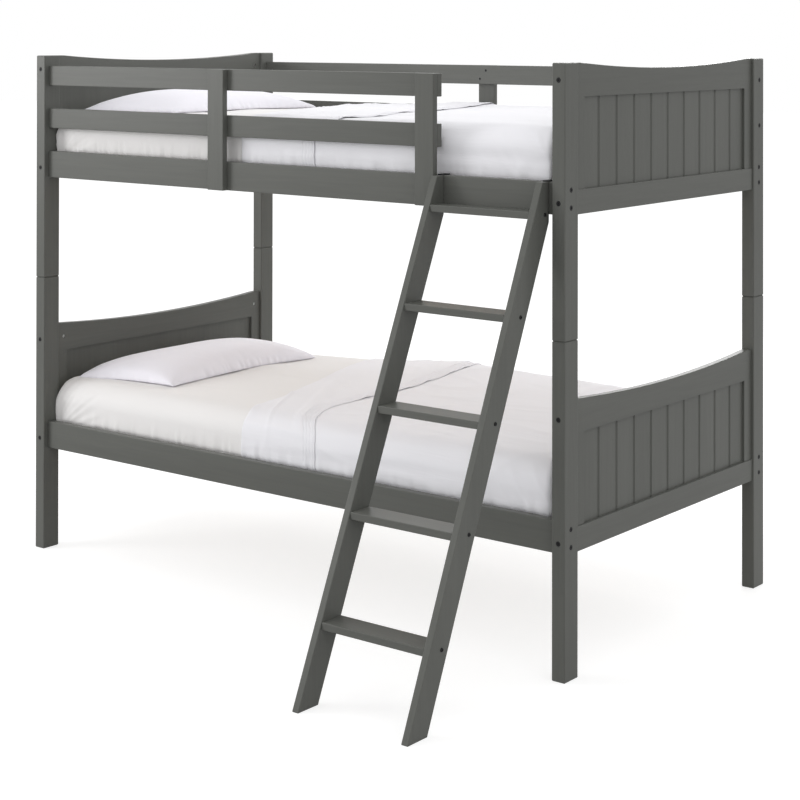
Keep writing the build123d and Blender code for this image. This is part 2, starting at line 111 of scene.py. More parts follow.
def newMaterial(name):
    material = bpy.data.materials.new(name)
    material.use_nodes = True
    material.node_tree.nodes.clear()
    tree = Tree(material.node_tree)
    shader = tree.add("ShaderNodeBsdfPrincipled")
    tree.add("ShaderNodeOutputMaterial", {"Surface": shader.outputs[0]})
    return material, tree, shader


def useGroup(tree, group, values):
    node = tree.add("ShaderNodeGroup", node_tree=group)
    for name, value in values.items():
        tree.feed(node.inputs[name], value)
    return node


# painted timber

paint = {
    "color": (0.127, 0.130, 0.119),
    "dark": (0.110, 0.113, 0.103),
    "roughness": 0.36,
    "gloss": 0.24,
    "poreSwing": 0.1,  # how much roughness varies with the pores
    "grainStretch": 22.0,
    "grainScale": 95.0,
    "grainShade": 0.25,
    "orangePeel": 420.0,
    "bump": {"strength": 0.2, "grain": 0.7, "peel": 0.35, "depth": 0.0005},
}


def buildGrainGroup():
    tree, given, out = newGroup("timberGrain", [
        ("Vector", "vector", None), ("Scale", "float", 90.0), ("Wander", "float", 0.6)],
        [("Streak", "float"), ("Cloud", "float"), ("Pore", "float")])
    vector, scale = given.outputs["Vector"], given.outputs["Scale"]
    tree.feed(out.inputs["Streak"], tree.noise(vector, scale, 4.0, 0.55, given.outputs["Wander"]))
    tree.feed(out.inputs["Cloud"], tree.noise(vector, tree.math("MULTIPLY", scale, 0.08), 2.0, 0.5))
    tree.feed(out.inputs["Pore"], tree.noise(vector, tree.math("MULTIPLY", scale, 4.5), 2.0, 0.6))
    return tree.tree


grainGroup = buildGrainGroup()


def stretchAlong(axis, amount):
    return tuple(1.0 / amount if letter == axis else 1.0 for letter in "xyz")


def makePaint(name, along):
    # satin paint over timber whose grain runs along one axis
    material, tree, shader = newMaterial(name)
    coords = tree.add("ShaderNodeTexCoord").outputs["Object"]
    stretched = tree.scaled(coords, stretchAlong(along, paint["grainStretch"]))
    grain = useGroup(tree, grainGroup, {"Vector": stretched, "Scale": paint["grainScale"]})
    color = tree.mix(tree.ramp(grain.outputs["Cloud"], [(0.3, 0.0), (0.7, 1.0)]),
                     paint["dark"], paint["color"])
    streaks = tree.ramp(grain.outputs["Streak"], [(0.35, 0.82), (0.65, 1.1)])
    color = tree.mix(paint["grainShade"], color, streaks, "MULTIPLY")
    peel = tree.noise(coords, paint["orangePeel"], 2.0, 0.5)
    relief = paint["bump"]
    height = tree.math("ADD", tree.math("MULTIPLY", grain.outputs["Streak"], relief["grain"]),
                       tree.math("MULTIPLY", peel, relief["peel"]))
    bump = tree.add("ShaderNodeBump", {"Strength": relief["strength"], "Distance": relief["depth"],
                                       "Height": height})
    rough = tree.math("ADD", paint["roughness"] - paint["poreSwing"] / 2,
                      tree.math("MULTIPLY", grain.outputs["Pore"], paint["poreSwing"]))
    tree.feed(shader.inputs["Base Color"], color)
    tree.feed(shader.inputs["Roughness"], rough)
    tree.feed(shader.inputs["Normal"], bump.outputs[0])
    shader.inputs["Specular IOR Level"].default_value = paint["gloss"]
    return material


paintBy = {axis: makePaint("greyPaint" + axis.upper(), axis) for axis in "xyz"}


# bare timber and steel

pineLook = {
    "stretch": 20.0,
    "grainScale": 55.0,
    "wander": 1.4,
    "bump": (0.3, 0.0005),
    "roughness": 0.62,
    "shades": [(0.3, (0.44, 0.27, 0.14)), (0.5, (0.66, 0.47, 0.28)), (0.7, (0.74, 0.56, 0.37))],
}
steelLook = {
    "scuffScale": 900.0,
    "scuffShade": 0.85,
    "scuffSwing": 0.16,
    "black": {"color": (0.012, 0.012, 0.013), "metallic": 0.0, "roughness": 0.50, "gloss": 0.25},
    "zinc": {"color": (0.62, 0.62, 0.6), "metallic": 1.0, "roughness": 0.32, "gloss": 0.5},
}


def makePine(name, along):
    material, tree, shader = newMaterial(name)
    coords = tree.add("ShaderNodeTexCoord").outputs["Object"]
    stretched = tree.scaled(coords, stretchAlong(along, pineLook["stretch"]))
    grain = useGroup(tree, grainGroup, {"Vector": stretched, "Scale": pineLook["grainScale"],
                                        "Wander": pineLook["wander"]})
    tree.feed(shader.inputs["Base Color"], tree.ramp(grain.outputs["Streak"], pineLook["shades"]))
    strength, depth = pineLook["bump"]
    bump = tree.add("ShaderNodeBump", {"Strength": strength, "Distance": depth,
                                       "Height": grain.outputs["Streak"]})
    tree.feed(shader.inputs["Normal"], bump.outputs[0])
    shader.inputs["Roughness"].default_value = pineLook["roughness"]
    return material


def makeSteel(name, color, metallic, roughness, gloss):
    material, tree, shader = newMaterial(name)
    coords = tree.add("ShaderNodeTexCoord").outputs["Object"]
    scuff = tree.noise(coords, steelLook["scuffScale"], 3.0, 0.6)
    scuffed = tuple(c * steelLook["scuffShade"] for c in color)
    tree.feed(shader.inputs["Base Color"], tree.mix(scuff, scuffed, color))
    swing = steelLook["scuffSwing"]
    tree.feed(shader.inputs["Roughness"], tree.math("ADD", roughness - swing / 2,
                                                    tree.math("MULTIPLY", scuff, swing)))
    shader.inputs["Metallic"].default_value = metallic
    shader.inputs["Specular IOR Level"].default_value = gloss
    return material


pineBy = {axis: makePine("pine" + axis.upper(), axis) for axis in "xy"}
blackSteel = makeSteel("blackSteel", **steelLook["black"])
zincSteel = makeSteel("zincSteel", **steelLook["zinc"])


# cloth

cloth = {
    "fitted": {"color": (0.880, 0.864, 0.858), "ripple": (14.0, 14.0, 14.0)},
    "sheet": {"color": (0.905, 0.900, 0.935), "ripple": (5.0, 22.0, 34.0)},
    "pillow": {"color": (0.920, 0.905, 0.965), "ripple": (16.0, 16.0, 16.0)},
}
weaveLook = {
    "threads": 1400.0,
    "threadBump": (0.10, 0.0003),
    "rippleBump": (0.6, 0.0016),
    "toneDrop": 0.97,
    "roughness": 0.85,
    "sheen": 0.12,
}


def buildWeaveGroup():
    # crossing threads, and the faint ripples of pressed cotton
    tree, given, out = newGroup("plainWeave", [
        ("Vector", "vector", None), ("Threads", "float", 1400.0), ("Ripple", "vector", None)],
        [("Thread", "float"), ("Crumple", "float"), ("Tone", "float")])
    vector, threads = given.outputs["Vector"], given.outputs["Threads"]
    warp = tree.noise(tree.scaled(vector, (1.0, 0.08, 0.5)), threads, 1.0, 0.5)
    weft = tree.noise(tree.scaled(vector, (0.08, 1.0, 1.0)), threads, 1.0, 0.5)
    tree.feed(out.inputs["Thread"], tree.math("MAXIMUM", warp, weft))
    ripple = tree.add("ShaderNodeVectorMath", {0: vector, 1: given.outputs["Ripple"]},
                      operation="MULTIPLY").outputs[0]
    tree.feed(out.inputs["Crumple"], tree.noise(ripple, 1.0, 3.0, 0.55, 0.8))
    tree.feed(out.inputs["Tone"], tree.noise(vector, 5.0, 2.0, 0.5))
    return tree.tree


weaveGroup = buildWeaveGroup()


def makeCloth(name, color, ripple):
    material, tree, shader = newMaterial(name)
    coords = tree.add("ShaderNodeTexCoord").outputs["Object"]
    weave = useGroup(tree, weaveGroup, {"Vector": coords, "Threads": weaveLook["threads"],
                                        "Ripple": ripple})
    shaded = tuple(c * weaveLook["toneDrop"] for c in color)
    tree.feed(shader.inputs["Base Color"], tree.mix(weave.outputs["Tone"], shaded, color))
    strength, depth = weaveLook["rippleBump"]
    crumple = tree.add("ShaderNodeBump", {"Strength": strength, "Distance": depth,
                                          "Height": weave.outputs["Crumple"]})
    strength, depth = weaveLook["threadBump"]
    threads = tree.add("ShaderNodeBump", {"Strength": strength, "Distance": depth,
                                          "Height": weave.outputs["Thread"],
                                          "Normal": crumple.outputs[0]})
    tree.feed(shader.inputs["Normal"], threads.outputs[0])
    shader.inputs["Roughness"].default_value = weaveLook["roughness"]
    shader.inputs["Sheen Weight"].default_value = weaveLook["sheen"]
    return material


clothBy = {name: makeCloth(name + "Cloth", **values) for name, values in cloth.items()}


# what each carried-over piece is painted with

def paintNode(name, material):
    mesh = nodes[name].data
    mesh.materials.clear()
    mesh.materials.append(material)


grainAlong = {"post": "z", "batten": "z", "board_top_rail": "y", "board_bottom_rail": "y",
              "board_stiles": "z", "board_panel": "z", "side_rail": "x", "guard": "x",
              "tread": "x", "stile": "z"}
for name in nodes:
    if any(word in name for word in ("mattress", "sheet", "pillow")):
        continue
    if "ledgers" in name:
        paintNode(name, pineBy["x"])
    elif "slats" in name:
        paintNode(name, pineBy["y"])
    elif any(word in name for word in ("bolts", "ladder_hooks", "guard_screws")):
        paintNode(name, blackSteel)
    elif any(word in name for word in ("nuts", "screws", "pins")):
        paintNode(name, zincSteel)
    else:
        paintNode(name, paintBy[grainAlong[next(k for k in grainAlong if k in name)]])
print("materials placed")


# mesh helpers

def addObject(name, data):
    added = bpy.data.objects.new(name, data)
    scene.collection.objects.link(added)
    return added


def makePiece(name, points, faces, material, smooth=True):
    mesh = bpy.data.meshes.new(name)
    mesh.from_pydata([tuple(map(float, p)) for p in points], [], faces)
    mesh.materials.append(material)
    if smooth:
        mesh.shade_smooth()
    return addObject(name, mesh)


def cornersOf(name):
    return (np.array(corner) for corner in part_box(name))


def weld(piece, distance=1e-5):
    shape = bmesh.new()
    shape.from_mesh(piece.data)
    bmesh.ops.remove_doubles(shape, verts=shape.verts, dist=distance)
    bmesh.ops.recalc_face_normals(shape, faces=shape.faces)
    shape.to_mesh(piece.data)
    shape.free()
    piece.data.shade_smooth()


def pointsOf(mesh):
    flat = np.empty(len(mesh.vertices) * 3)
    mesh.vertices.foreach_get("co", flat)
    return flat.reshape(-1, 3)


def setPoints(mesh, points):
    mesh.vertices.foreach_set("co", np.ascontiguousarray(points, dtype=float).ravel())
    mesh.update()


def waves(points, wavelength, seed, count=20):
    # a smooth field of about -1 to 1 from plane waves, with one wavelength per axis
    dice = np.random.default_rng(seed)
    aim = dice.normal(size=(count, 3))
    aim /= np.linalg.norm(aim, axis=1)[:, None]
    aim *= dice.uniform(0.6, 1.5, count)[:, None]
    phase = dice.uniform(0.0, 2 * math.pi, count)
    turns = (points / np.array(wavelength)) @ aim.T * 2 * math.pi
    return np.sin(turns + phase).sum(axis=1) / math.sqrt(count)


def ridges(field, sharpness=2.5):
    # thin raised creases where a smooth field crosses zero
    return np.clip(1.0 - sharpness * np.abs(field), 0.0, 1.0) ** 1.5


def fade(value, start, end):
    # 0 at start to 1 at end, eased
    t = np.clip((value - start) / (end - start), 0.0, 1.0)
    return t * t * (3 - 2 * t)


# mattress with its fitted sheet, and the top sheet over it

mattress = {
    "corner": 0.014,  # radius seen from above
    "edge": 0.074,  # radius of the long upper edges
    "endSharp": 2.1,  # how much sharper the edges are at both ends
    "underSharp": 3.0,  # and underneath
    "headSwell": 0.004,
    "cell": (0.0062, 0.0110, 0.0070),  # mesh spacing along, across and up
    "crown": {"lower": 0.001, "upper": 0.003},
    "footLift": {"lower": 0.0, "upper": 0.014},
    "headDip": {"lower": 0.0, "upper": 0.009},
    "backShare": {"lower": 1.0, "upper": 0.5},  # how much of backLine each bunk takes
    # along the back, from head to foot: where, and how much higher
    "backLine": ((-0.66, -0.020), (-0.30, -0.004), (0.00, 0.026), (0.20, 0.018), (0.90, 0.014)),
    # drawn in where it goes down behind the rail
    "tuck": {"depth": 0.016, "from": -0.036, "to": -0.056},
    "gather": {"height": 0.0020, "pitch": 0.026},
    "fan": {"height": 0.0018, "pitch": 0.13, "reach": 0.26},  # creases at the head corners
    "dent": 0.0016,
    "ridge": 0.0012,
    "hookRoom": 0.006,  # left free for the ladder's hooks
}
sheet = {
    "fold": {"side": -0.150, "back": -0.400},  # where along the bed the cloth turns back
    "hem": {  # and where the turned-back part ends
        "lower": {"side": 0.134, "front": 0.036, "back": 0.036},
        "upper": {"side": 0.131, "front": 0.250, "back": 0.080},
    },
    "drop": 0.150,  # how far it hangs down the sides
    "lift": 0.0018,  # clear of the mattress
    "turn": 0.0030,  # the turned-back layer above the one below
    "thickness": 0.0011,
    "cell": (0.0095, 0.0095, 0.0085),
    "length": {"laid": 1.2, "turnedBack": 0.31},  # rough, only sets the number of rows
    "foldRadius": 0.0025,
    "ripple": 0.0016,
    "crease": 0.0018,
    "slantCrease": 0.0030,
    "footCrease": 0.0034,
    "flat": {"lower": (1.245, 1.930), "upper": (1.245, 1.970)},  # the size it was cut to
    "area": {"lower": 2.06, "upper": 2.17},
    "hemRows": (0.007, 0.019, 0.031, 0.043),
    "hemBand": 0.052,
    "hemCuts": 27,
    "rowDepth": 0.0008,
    "rowWidth": 0.0020,
    "stitchClear": 0.0001,
}
bunkSeeds = {"lower": 11, "upper": 47}


def spread(start, end, cell):
    return np.linspace(start, end, max(2, round(abs(end - start) / cell) + 1))


def roundedBox(points, half):
    # moves points of a box's surface onto the same box with round edges and corners, and gives
    # the way that each faces; the stretch keeps the edge sharper at both ends and underneath
    edge, squash = mattress["edge"], np.ones((len(points), 3))
    squash[:, 0] = mattress["endSharp"]
    squash[:, 2] = np.where(points[:, 2] < 0, mattress["underSharp"], 1.0)
    tall = half[2] * squash[:, 2]
    points, half = points * squash, half * (mattress["endSharp"], 1.0, 1.0)
    inner = half[:2] - edge
    over = np.clip(np.abs(points[:, :2]) - inner, 0.0, None).max(axis=1)
    above = np.clip(np.abs(points[:, 2]) - (tall - edge), 0.0, None)
    ease = np.maximum(over, above) / np.maximum(np.hypot(over, above), 1e-9)
    ring, rise = over * ease, above * ease
    flat = points[:, :2] * (inner + ring[:, None]) / (inner + over[:, None])
    radius = mattress["corner"] * ring / edge
    core = inner + (ring - radius)[:, None]
    kept = np.clip(flat, -core, core)
    out = flat - kept
    reach, length = np.abs(out).max(axis=1), np.linalg.norm(out, axis=1)
    way = out / np.maximum(length, 1e-9)[:, None]
    height = np.minimum(np.abs(points[:, 2]), tall - edge) + rise
    base = np.column_stack([kept + way * reach[:, None], np.sign(points[:, 2]) * height])
    normal = np.column_stack([way * (ring / edge)[:, None], np.sign(points[:, 2]) * rise / edge])
    normal *= squash
    return base / squash, normal / np.maximum(np.linalg.norm(normal, axis=1), 1e-9)[:, None]


def gridFaces(rows, columns, start=0, flip=False):
    faces = []
    for i in range(rows - 1):
        for j in range(columns - 1):
            a = start + i * columns + j
            quad = (a, a + 1, a + columns + 1, a + columns)
            faces.append(quad[::-1] if flip else quad)
    return faces


def boxGrid(half, cells):
    # the six faces of a box as grids whose edges meet point for point
    points, faces = [], []
    axes = [spread(-h, h, cell) for h, cell in zip(half, cells)]
    for axis in range(3):
        u, v = [a for a in range(3) if a != axis]
        for side in (-1, 1):
            grid = np.zeros((len(axes[u]), len(axes[v]), 3))
            grid[:, :, u] = axes[u][:, None]
            grid[:, :, v] = axes[v][None, :]
            grid[:, :, axis] = side * half[axis]
            faces += gridFaces(len(axes[u]), len(axes[v]), sum(map(len, points)))
            points.append(grid.reshape(-1, 3))
    return np.concatenate(points), faces


def gathers(base, half, seed):
    # short upright tucks where the cloth goes down behind the rail
    side = fade(np.abs(base[:, 1]), half[1] - 0.02, half[1] - 0.004)
    field = waves(base, (mattress["gather"]["pitch"], 6.0, 0.45), seed, 30)
    low = 1 - fade(base[:, 2], -0.050, 0.030)
    low *= 0.35 + 0.65 * fade(-base[:, 2], -0.02, 0.05)
    return mattress["gather"]["height"] * field * side * low


def topLift(bunk, x, y, half):
    # how far the top lies above that of the plain block
    swell = (1 - np.clip(x / half[0], -1, 1) ** 4) * (1 - np.clip(y / half[1], -1, 1) ** 2)
    lift = (mattress["crown"][bunk] + mattress["footLift"][bunk] * fade(x, 0.1, 0.6)) * swell
    lift -= mattress["headDip"][bunk] * fade(-x, 0.30, 0.55)
    places, heights = zip(*mattress["backLine"])
    back = np.interp(x, places, heights) * fade(y, 0.0, half[1] - 0.03)
    return lift + mattress["backShare"][bunk] * back


def beddingForm(bunk, base, half):
    # how far the made-up mattress stands out from its plain block, and its crown
    seed, fan, tuck = bunkSeeds[bunk], mattress["fan"], mattress["tuck"]
    x, y, z = base.T
    top = fade(z, half[2] - 0.03, half[2])
    under = fade(-z, half[2] - 0.06, half[2])
    out = gathers(base, half, seed + 1)
    headCorner = fade(-x, half[0] - fan["reach"], half[0] - 0.05)
    headCorner *= fade(np.abs(y), half[1] - 0.10, half[1])
    angle = np.arctan2(z + half[2], np.abs(x + half[0]) + 0.02)
    spokes = waves(np.column_stack([angle, x * 0, y * 0]), (fan["pitch"], 1.0, 1.0), seed + 2, 12)
    out += fan["height"] * spokes * headCorner
    out += mattress["dent"] * waves(base, (0.55, 0.34, 0.5), seed + 3) * top
    out += mattress["ridge"] * ridges(waves(base, (0.9, 0.20, 0.4), seed + 4), 3.0) * top
    lift = topLift(bunk, x, y, half) * fade(z, -0.03, half[2])
    drawn = fade(np.abs(y), half[1] - 0.06, half[1]) * fade(-z, -tuck["from"], -tuck["to"])
    drawn *= (1 - fade(-x, half[0] - 0.05, half[0] - 0.01)) * (1 - fade(-z, 0.058, 0.080))
    headEnd = fade(-x, half[0] - 0.03, half[0]) * fade(-np.abs(z + 0.02), -0.075, -0.02)
    out += mattress["headSwell"] * headEnd
    out -= tuck["depth"] * drawn
    if bunk == "upper":
        # held back by the hooks of the ladder, which stand inside the front rail
        byHooks = fade(x, 0.50, 0.57) * fade(-y, half[1] - 0.05, half[1]) * fade(-z, -0.060, -0.020)
        out -= mattress["hookRoom"] * byHooks
    return out * (1 - under), lift


def buildMattress(bunk):
    low, high = cornersOf(f"{bunk}_mattress")
    half, center = (high - low) / 2, (high + low) / 2
    points, faces = boxGrid(half, mattress["cell"])
    piece = makePiece(f"{bunk}Mattress", points, faces, clothBy["fitted"])
    weld(piece)
    base, normal = roundedBox(pointsOf(piece.data), half)
    out, lift = beddingForm(bunk, base, half)
    shaped = base + normal * out[:, None]
    shaped[:, 2] += lift
    setPoints(piece.data, shaped + center)
    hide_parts(f"{bunk}_mattress")
    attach(piece, f"{bunk}_mattress")
    return half, center


def sheetWrinkles(bunk, base, half, layer):
    # always outward, so that no layer dips into the one below
    seed = bunkSeeds[bunk] + 20
    x, y, z = base.T
    side = fade(np.abs(y), half[1] - 0.05, half[1])
    free = fade(z, -0.050, -0.015)
    blank = x * 0
    hanging = np.clip(0.5 + 0.5 * waves(base, (0.60, 0.5, 0.045), seed + 1), 0, 1.4)
    out = sheet["ripple"] * hanging * side * free
    lying = np.clip(0.5 + 0.5 * waves(base, (0.5, 0.16, 0.4), seed + 2), 0, 1.4)
    out += sheet["ripple"] * 0.7 * lying * (1 - side)
    out += sheet["crease"] * ridges(waves(base, (0.45, 0.30, 0.25), seed + 3), 3.5) * free
    footCorner = fade(x, half[0] - 0.34, half[0] - 0.04) * side * free
    slanted = np.column_stack([x + 0.8 * z, blank, blank])
    out += sheet["footCrease"] * ridges(waves(slanted, (0.11, 1, 1), seed + 4), 1.6) * footCorner
    # soft creases run slantwise across the turned-back part
    slanted = np.column_stack([x + y * 0.55, blank, z])
    creases = ridges(waves(slanted, (0.13, 1, 0.5), seed + 5), 1.6)
    return out + layer * sheet["slantCrease"] * creases * free * (0.4 + 0.6 * (1 - side))


def shapeSheet(bunk, flat, layer, half, extra=0.0):
    # layer is 0 on the mattress, 1 on the turned-back part and between them in the fold
    base, normal = roundedBox(flat, half)
    out, lift = beddingForm(bunk, base, half)
    out += sheet["lift"] + sheetWrinkles(bunk, base, half, layer) + layer * sheet["turn"] + extra
    points = base + normal * out[:, None]
    points[:, 2] += lift
    return points


def foldLine(section, half):
    back = fade(section[:, 0], -half[1], half[1])
    return sheet["fold"]["side"] + (sheet["fold"]["back"] - sheet["fold"]["side"]) * back


def hemLine(bunk, section, half):
    # straight across the top, and swung round over the front edge
    hem = sheet["hem"][bunk]
    across = (section[:, 0] + half[1]) / (2 * half[1])
    top = hem["front"] + (hem["back"] - hem["front"]) * across
    along = (section[:, 0] + half[1]) - (half[2] - section[:, 1]) * (section[:, 0] < 0)
    return top + (hem["side"] - top) * fade(-along, -0.20, 0.075)


def buildSheet(bunk, half, center):
    cellX, cellY, cellZ = sheet["cell"]
    up = spread(half[2] - sheet["drop"], half[2], cellZ)
    across = spread(-half[1], half[1], cellY)
    section = [(-half[1], z) for z in up] + [(y, half[2]) for y in across[1:]]
    section = np.array(section + [(half[1], z) for z in up[::-1][1:]])
    foldX, hemX = foldLine(section, half) - center[0], hemLine(bunk, section, half) - center[0]
    # from the foot up to the fold, round it, and back to the hem: where, and on which layer
    laid = np.linspace(0, 1, round(sheet["length"]["laid"] / cellX))
    turned = np.linspace(0, 1, round(sheet["length"]["turnedBack"] / (0.8 * cellX)))
    hemGaps = np.linspace(sheet["hemBand"], 0, sheet["hemCuts"])[1:]
    stations = [(half[0] + (foldX - half[0]) * t, 0.0) for t in laid]
    stations += [(foldX - sheet["foldRadius"], 0.5)]
    hemStart = hemX - sheet["hemBand"]
    stations += [(foldX + (hemStart - foldX) * t, 1.0) for t in turned]
    stations += [(hemX - gap, 1.0) for gap in hemGaps]
    flat = np.concatenate([np.column_stack([x, section]) for x, layer in stations])
    layer = np.repeat([layer for x, layer in stations], len(section))
    faces = gridFaces(len(stations), len(section))
    end = np.array([(half[0], y, z) for z in up for y in across])
    faces += gridFaces(len(up), len(across), len(flat), flip=True)
    flat, layer = np.concatenate([flat, end]), np.concatenate([layer, np.zeros(len(end))])
    fromHem = np.tile(hemX, len(stations)) - flat[:len(hemX) * len(stations), 0]
    dips = sum(np.exp(-((fromHem - gap) / sheet["rowWidth"]) ** 2) for gap in sheet["hemRows"])
    pulled = np.concatenate([-sheet["rowDepth"] * dips, np.zeros(len(end))]) * (layer > 0.9)
    points = shapeSheet(bunk, flat, layer, half, pulled) + center
    piece = makePiece(f"{bunk}TopSheet", points, faces, clothBy["sheet"])
    weld(piece)
    # the lines that the stitches follow, just above the cloth
    stitchHeight = sheet["thickness"] - sheet["rowDepth"] + sheet["stitchClear"]
    rows = []
    for gap in sheet["hemRows"]:
        line = np.column_stack([hemX - gap, section])
        rows.append(shapeSheet(bunk, line, np.ones(len(line)), half, stitchHeight) + center)
    thick = piece.modifiers.new("thickness", "SOLIDIFY")
    thick.thickness = sheet["thickness"]
    thick.offset = 1.0
    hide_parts(f"{bunk}_top_sheet")
    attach(piece, f"{bunk}_mattress")
    return piece, rows


# pillow, two panels filled by the cloth solver and then laid on the mattress

pillow = {
    "flat": (0.415, 0.800),
    "cells": (46, 88),
    "pressure": 5.0,
    "weight": 0.25,
    "stretch": 18.0,
    "shear": 8.0,
    "bend": 0.15,
    "quality": 6,
    "frames": 20,
    "start": 0.006,  # half the gap between the panels before they are filled
    "creased": 0.12,  # how much of the solver's creasing is kept
    "plump": {"lower": (2.6, 4.8, 0.54), "upper": (2.6, 2.8, 0.60)},  # across, along, rise
    "bow": {"head": 0.075, "foot": 0.030, "ends": 0.030},  # how far the sides pull in
    "seam": 0.006,  # height of the seam at the sides
    "gap": 0.0010,
    "shoulder": 0.006,  # how far it sinks at the front, where the mattress rounds off
    "upperBend": (0.004, 9.0),
    "upperRoll": (0.05, 7.0, 1.0),
    # from the corners of its space: head front, foot front, foot back, head back
    "corners": ((-0.004, -0.016), (0.002, 0.048), (-0.036, 0.022), (0.004, 0.000)),
}


def pillowPanels():
    # two panels joined round their edge, a few millimetres apart in the middle
    columns, rows = pillow["cells"]
    width, length = pillow["flat"]
    u, v = np.meshgrid(np.linspace(-1, 1, columns + 1), np.linspace(-1, 1, rows + 1))
    u, v = u.ravel(), v.ravel()
    points, faces, places = [], [], []
    for side in (1, -1):
        rise = side * pillow["start"] * (1 - u ** 4) * (1 - v ** 4)
        points.append(np.column_stack([u * width / 2, v * length / 2, rise]))
        places.append(np.column_stack([u, v, u * 0 + side]))
        start = (rows + 1) * (columns + 1) if side < 0 else 0
        faces += gridFaces(rows + 1, columns + 1, start, flip=side < 0)
    piece = makePiece("pillowForm", np.concatenate(points), faces, clothBy["pillow"])
    for label, values in zip(("across", "along", "face"), np.concatenate(places).T):
        layer = piece.data.attributes.new(label, "FLOAT", "POINT")
        layer.data.foreach_set("value", values)
    weld(piece)
    return piece


def readLayer(mesh, label):
    values = np.empty(len(mesh.vertices))
    mesh.attributes[label].data.foreach_get("value", values)
    return values


def inflate(piece):
    solver = piece.modifiers.new("fill", "CLOTH")
    settings = solver.settings
    settings.quality = pillow["quality"]
    settings.mass = pillow["weight"]
    settings.tension_stiffness = settings.compression_stiffness = pillow["stretch"]
    settings.shear_stiffness = pillow["shear"]
    settings.bending_stiffness = pillow["bend"]
    settings.use_pressure = True
    settings.uniform_pressure_force = pillow["pressure"]
    settings.effector_weights.gravity = 0.0
    solver.collision_settings.use_collision = False
    solver.point_cache.frame_start = 1
    solver.point_cache.frame_end = pillow["frames"]
    for step in range(1, pillow["frames"] + 1):
        scene.frame_set(step)
    depsgraph = bpy.context.evaluated_depsgraph_get()
    filled = bpy.data.meshes.new_from_object(piece.evaluated_get(depsgraph), depsgraph=depsgraph)
    piece.modifiers.clear()
    scene.frame_set(1)
    return pointsOf(filled)


def laidPillow(bunk, u, v, face, size):
    # the plump form of the pillow where it lies, in its own space from 0 to size
    corners = np.array([(0, 0), (size[0], 0), (size[0], size[1]), (0, size[1])], dtype=float)
    corners += np.array(pillow["corners"])
    a, b = ((u + 1) / 2)[:, None], ((v + 1) / 2)[:, None]
    plan = (corners[0] * (1 - a) * (1 - b) + corners[1] * a * (1 - b)
            + corners[2] * a * b + corners[3] * (1 - a) * b)
    bow = pillow["bow"]
    plan[:, 0] -= u * np.abs(u) * (1 - v * v) * np.where(u < 0, bow["head"], bow["foot"]) * size[0]
    plan[:, 1] -= v * np.abs(v) * (1 - u * u) * bow["ends"] * size[1]
    powerU, powerV, rise = pillow["plump"][bunk]
    dome = ((1 - np.abs(u) ** powerU) * (1 - np.abs(v) ** powerV)).clip(0) ** rise
    seam = pillow["seam"] * (1 - np.abs(u * v) ** 2 * 0.6)
    height = np.where(face > 0, seam + (size[2] - pillow["seam"]) * dome,
                      seam * (1 - dome.clip(0, 0.25) * 4))
    return np.column_stack([plan, height])


def buildPillows(bedding):
    form = pillowPanels()
    u, v, face = (readLayer(form.data, label) for label in ("across", "along", "face"))
    flat = pointsOf(form.data)
    filled = inflate(form)
    for bunk in ("lower", "upper"):
        half, center = bedding[bunk]
        low, high = cornersOf(f"{bunk}_pillow")
        size = high - low
        plump = laidPillow(bunk, u, v, face, size)
        # a share of what the solver made creases the upper panel along its seams
        points = (filled - filled.min(axis=0)) / np.ptp(filled, axis=0) * size
        share = np.where(face > 0, pillow["creased"], 0.0)
        points = plump + (points - plump) * share[:, None]
        points[:, 2] = np.maximum(points[:, 2], plump[:, 2] * 0.75)
        if bunk == "upper":
            depth, turns = pillow["upperBend"]
            points[:, 0] += depth * np.sin(points[:, 1] * turns)
            depth, turns, phase = pillow["upperRoll"]
            points[:, 2] *= 1 + depth * np.sin(points[:, 1] * turns + phase)
        points += low
        shoulder = pillow["shoulder"] * fade(-(points[:, 1] - low[1]), -0.06, 0.01)
        points[:, 2] += pillow["gap"] - shoulder
        points[:, 2] += topLift(bunk, points[:, 0] - center[0], points[:, 1] - center[1], half)
        mesh = form.data.copy()
        setPoints(mesh, points)
        piece = addObject(f"{bunk}Pillow", mesh)
        finer = piece.modifiers.new("finer", "SUBSURF")
        finer.levels = finer.render_levels = 1
        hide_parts(f"{bunk}_pillow")
        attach(piece, f"{bunk}_pillow")
    bpy.data.objects.remove(form)


# geometry trees for what repeats

def newGeometryTree(name, inputs):
    group = bpy.data.node_groups.new(name, "GeometryNodeTree")
    group.is_modifier = True
    group.interface.new_socket(name="Geometry", in_out="INPUT", socket_type="NodeSocketGeometry")
    for label, kind, value in inputs:
        socket = group.interface.new_socket(name=label, in_out="INPUT",
                                            socket_type="NodeSocket" + kind)
        if value is not None:
            socket.default_value = value
    group.interface.new_socket(name="Geometry", in_out="OUTPUT", socket_type="NodeSocketGeometry")
    tree = Tree(group)
    return tree, tree.add("NodeGroupInput"), tree.add("NodeGroupOutput")


def finishTree(tree, given, out, instances):
    real = tree.add("GeometryNodeRealizeInstances", {"Geometry": instances})
    done = tree.add("GeometryNodeSetMaterial", {"Geometry": real.outputs[0],
                                                "Material": given.outputs["Material"]})
    tree.feed(out.inputs[0], done.outputs[0])


def grow(name, carrier, group, values, smooth=False):
    # runs one tree on a carrier and keeps the result as a plain mesh
    modifier = carrier.modifiers.new("grow", "NODES")
    modifier.node_group = group
    for item in group.interface.items_tree:
        if item.in_out == "INPUT" and item.name in values:
            modifier[item.identifier] = values[item.name]
    depsgraph = bpy.context.evaluated_depsgraph_get()
    mesh = bpy.data.meshes.new_from_object(carrier.evaluated_get(depsgraph), depsgraph=depsgraph)
    carrier.modifiers.remove(modifier)
    bpy.data.objects.remove(carrier)
    if smooth:
        mesh.shade_smooth()
    return addObject(name, mesh)


